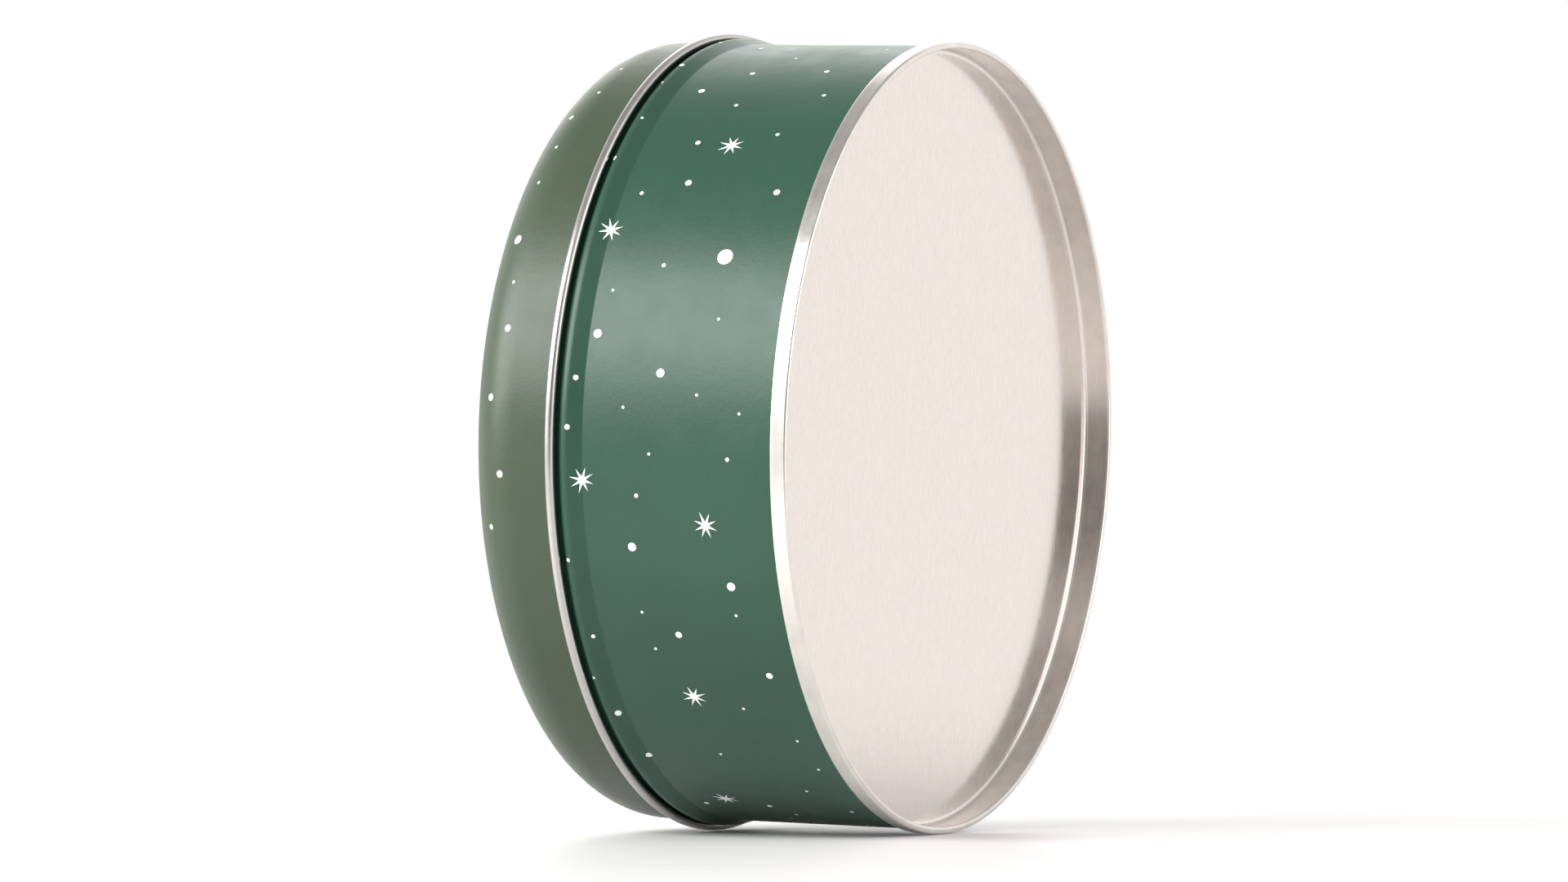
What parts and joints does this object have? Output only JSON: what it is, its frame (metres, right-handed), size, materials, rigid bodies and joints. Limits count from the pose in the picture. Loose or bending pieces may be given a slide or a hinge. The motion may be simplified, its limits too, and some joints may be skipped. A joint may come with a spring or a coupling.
{
  "type": "candle tin",
  "caption": "Round slip-lid tin of printed tinplate with a seamed-in recessed base, for pouring a candle into.",
  "frame": {"origin": "centre of the standing rim, on the plane that the upright tin stands on", "axes": "+Z along the tin's axis from the base to the lid; the tin is round, so +X and +Y only place the folded side seam and the print"},
  "size_m": [0.139, 0.139, 0.0624],
  "materials": {
    "lid_print": "satin printed tinplate",
    "body_print": "satin printed tinplate",
    "bare_tinplate": "satin rolled tinplate",
    "seam_compound": "matte"
  },
  "bodies": {
    "tin": {"body_wall": "body_print", "base_end": "bare_tinplate", "base_seam_compound": "seam_compound"},
    "lid": {"lid": "lid_print"}
  },
  "joints": [
    {"name": "lid_lift", "type": "slide", "parent": "tin", "child": "lid", "axis": [0, 0, 1], "range_m": [0, 0.06]}
  ]
}
